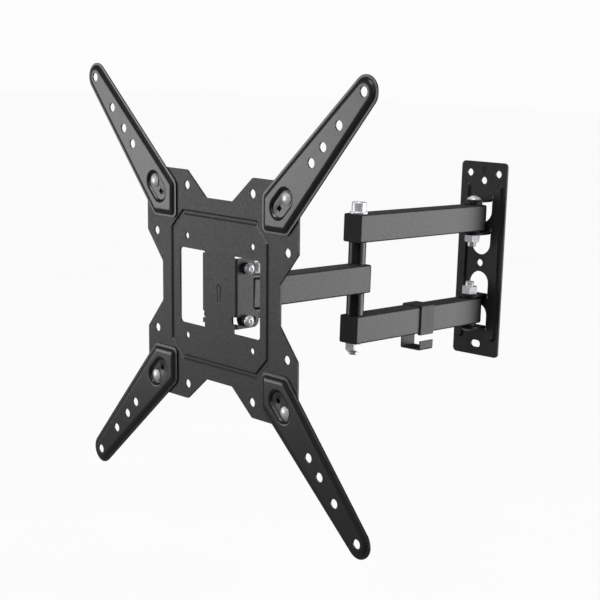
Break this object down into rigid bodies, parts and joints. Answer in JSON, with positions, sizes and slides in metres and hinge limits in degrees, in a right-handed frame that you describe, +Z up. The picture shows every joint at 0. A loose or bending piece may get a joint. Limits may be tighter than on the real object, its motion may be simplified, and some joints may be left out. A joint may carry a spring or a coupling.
{
  "type": "tv wall mount",
  "caption": "Full-motion TV wall mount: wall plate, folding swivel arm, tilting head and square TV plate with diagonal extension arms.",
  "frame": {"origin": "centre hole of the wall plate, on the wall's surface", "axes": "+Z up, +Y into the wall, -Y towards the TV, +X to the right seen from the TV side"},
  "size_m": [0.4287, 0.4552, 0.4289],
  "materials": {
    "powder_coat": "fine-textured black powder coat, satin",
    "zinc": "bright zinc plating",
    "sleeve_steel": "smooth black coating, satin",
    "black_plastic": "moulded black plastic"
  },
  "bodies": {
    "wall": {"wall_plate": "powder_coat", "pivot_bolts": "zinc", "pivot_nuts": "zinc"},
    "rear_arm": {"rear_tube_upper": "powder_coat", "rear_tube_lower": "powder_coat", "rear_wall_end_caps": "black_plastic", "rear_elbow_end_caps": "black_plastic", "pivot_bushes": "black_plastic", "elbow_bolt": "zinc", "elbow_washer": "zinc", "elbow_sleeves": "sleeve_steel", "elbow_thrust_washers": "black_plastic", "elbow_nut": "zinc"},
    "front_arm": {"front_tube": "powder_coat", "front_elbow_end_cap": "black_plastic", "front_head_end_cap": "black_plastic", "elbow_bush": "black_plastic", "swivel_bush": "black_plastic", "swivel_thrust_washers": "black_plastic"},
    "head": {"swivel_bracket": "powder_coat", "swivel_bolt": "zinc", "swivel_washer": "zinc", "swivel_nut": "zinc", "tilt_bolts": "zinc", "tilt_spacers": "black_plastic", "tilt_nuts": "zinc", "lock_bolts": "zinc", "lock_nuts": "zinc"},
    "tv_plate": {"tv_plate": "powder_coat", "arm_upper_left": "powder_coat", "arm_upper_right": "powder_coat", "arm_lower_left": "powder_coat", "arm_lower_right": "powder_coat", "carriage_bolts": "zinc", "carriage_nuts": "zinc"},
    "cable_clip": {"cable_clip": "black_plastic"}
  },
  "joints": [
    {"name": "wall_swivel", "type": "hinge", "parent": "wall", "child": "rear_arm", "pos_m": [0, -0.0196, 0], "axis": [0, 0, 1], "range_deg": [-90, 90]},
    {"name": "elbow", "type": "hinge", "parent": "rear_arm", "child": "front_arm", "pos_m": [0, -0.225, 0], "axis": [0, 0, -1], "range_deg": [-105, 105]},
    {"name": "head_swivel", "type": "hinge", "parent": "front_arm", "child": "head", "pos_m": [0, -0.3786, 0], "axis": [0, 0, 1], "range_deg": [-84.5, 95.5]},
    {"name": "tilt", "type": "hinge", "parent": "head", "child": "tv_plate", "pos_m": [-0.0033, -0.41284, 0.0285], "axis": [0.9954, -0.0958, 0], "range_deg": [-10, 2.5]},
    {"name": "clip_slide", "type": "slide", "parent": "rear_arm", "child": "cable_clip", "axis": [0, 1, 0], "range_m": [-0.08, 0.06]}
  ]
}
